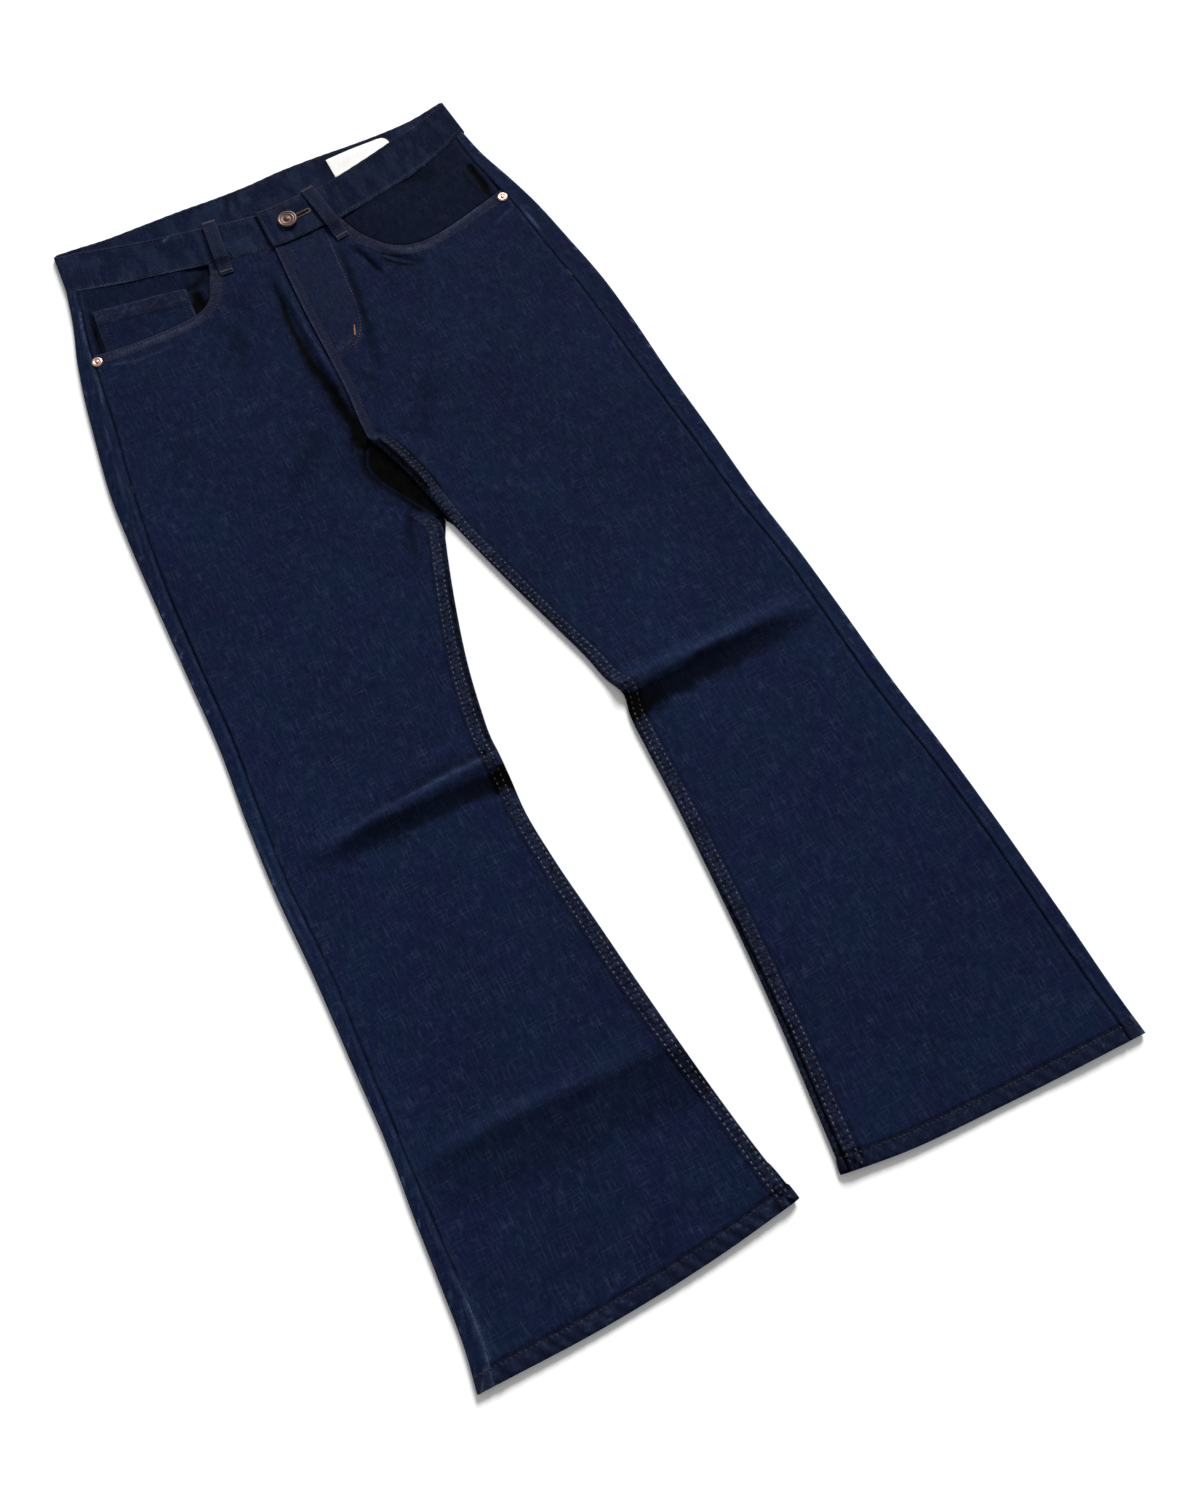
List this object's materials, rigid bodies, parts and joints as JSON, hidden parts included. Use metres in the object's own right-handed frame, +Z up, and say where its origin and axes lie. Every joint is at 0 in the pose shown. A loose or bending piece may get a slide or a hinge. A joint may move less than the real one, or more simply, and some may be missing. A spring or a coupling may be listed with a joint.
{
  "type": "bootcut jeans laid flat",
  "caption": "Bootcut jeans in dark indigo denim, laid flat with the front up: buttoned waistband, topstitched fly, scooped front pockets, coin pocket, belt loops and flared lower legs.",
  "frame": {"origin": "on the surface that the jeans lie on, under the middle of their bounding box", "axes": "+Y along the legs towards the waist, +Z up out of the front, +X towards the wearer's left"},
  "size_m": [0.5436, 1.0521, 0.0125],
  "materials": {
    "denim": "dark indigo twill denim, matt, with fine slubs",
    "band_denim": "dark indigo twill denim, matt, doubled",
    "pocket_denim": "dark indigo twill denim, matt, greyed by tobacco topstitching",
    "topstitch": "tobacco brown sewing thread",
    "button_metal": "antique brown metal, satin",
    "rivet_metal": "polished copper",
    "label_cloth": "white woven ribbon"
  },
  "bodies": {
    "root": {"back_right": "denim", "back_left": "denim", "yoke_right": "denim", "yoke_left": "denim", "front_right": "denim", "front_left": "denim", "crotch_fold": "denim", "pocket_facing_right": "pocket_denim", "pocket_facing_left": "pocket_denim", "coin_pocket": "pocket_denim", "waistband": "band_denim", "belt_loop_right": "pocket_denim", "belt_loop_left": "pocket_denim", "waist_label": "label_cloth", "button": "button_metal", "rivet_right": "rivet_metal", "rivet_left": "rivet_metal"}
  },
  "joints": []
}
